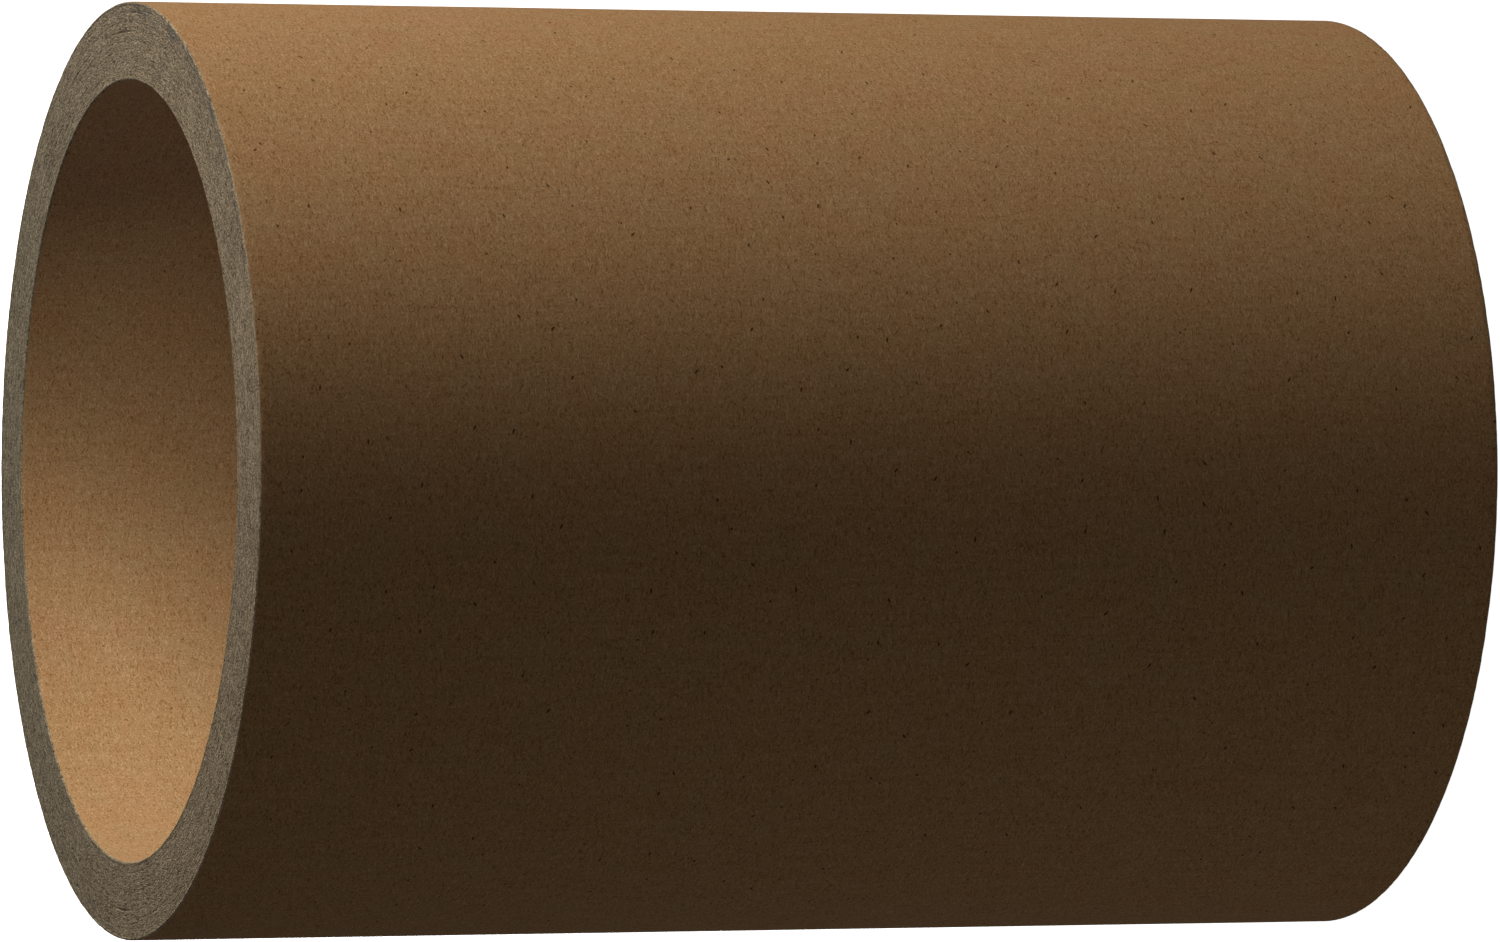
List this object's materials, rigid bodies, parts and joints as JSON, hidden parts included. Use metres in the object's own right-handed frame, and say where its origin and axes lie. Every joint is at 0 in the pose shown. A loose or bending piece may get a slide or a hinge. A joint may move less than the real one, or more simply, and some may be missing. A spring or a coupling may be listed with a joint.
{
  "type": "paper core",
  "caption": "Straight wound paper tube with a plain bore and square-cut ends, the core on which tape, labels, film or paper is wound.",
  "frame": {"origin": "middle of the lower cut end", "axes": "+Z along the core's axis, up from the end that it stands on"},
  "size_m": [0.0762, 0.0762, 0.1048],
  "materials": {
    "kraft_board": "matte"
  },
  "bodies": {
    "root": {"paper_core": "kraft_board"}
  },
  "joints": []
}
